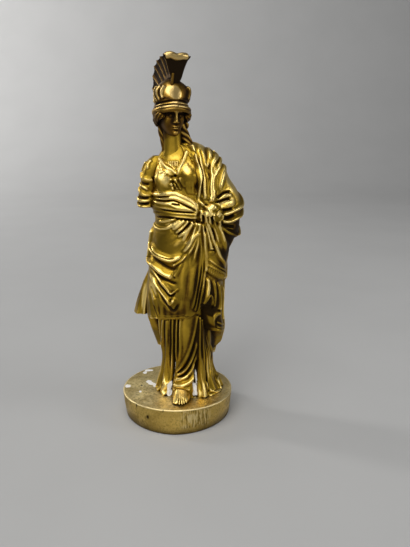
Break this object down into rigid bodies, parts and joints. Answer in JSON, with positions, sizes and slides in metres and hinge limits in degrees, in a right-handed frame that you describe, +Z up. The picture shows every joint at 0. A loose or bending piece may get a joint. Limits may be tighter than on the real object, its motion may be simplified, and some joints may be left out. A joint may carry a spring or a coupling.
{
  "type": "standing brass statuette of a helmeted goddess on a round plinth",
  "caption": "Small cast brass statuette of a helmeted goddess in a long tunic and a draped cloak, one hand on the hip and one forearm missing, standing on a round plinth.",
  "frame": {"origin": "centre of the plinth's flat underside", "axes": "+Z up through the head, the figure's front faces -Y, and the arm with its hand on the hip is towards +X"},
  "size_m": [0.0863, 0.0776, 0.2493],
  "materials": {
    "figure_brass": "polished golden brass on the high folds, with a dark brown patina in the hollows, on the head and on the crest",
    "plinth_brass": "satin worn brass with fine tool marks, small pits and a few pale spots of dried polish"
  },
  "bodies": {
    "root": {"figure": "figure_brass", "plinth": "plinth_brass"}
  },
  "joints": []
}
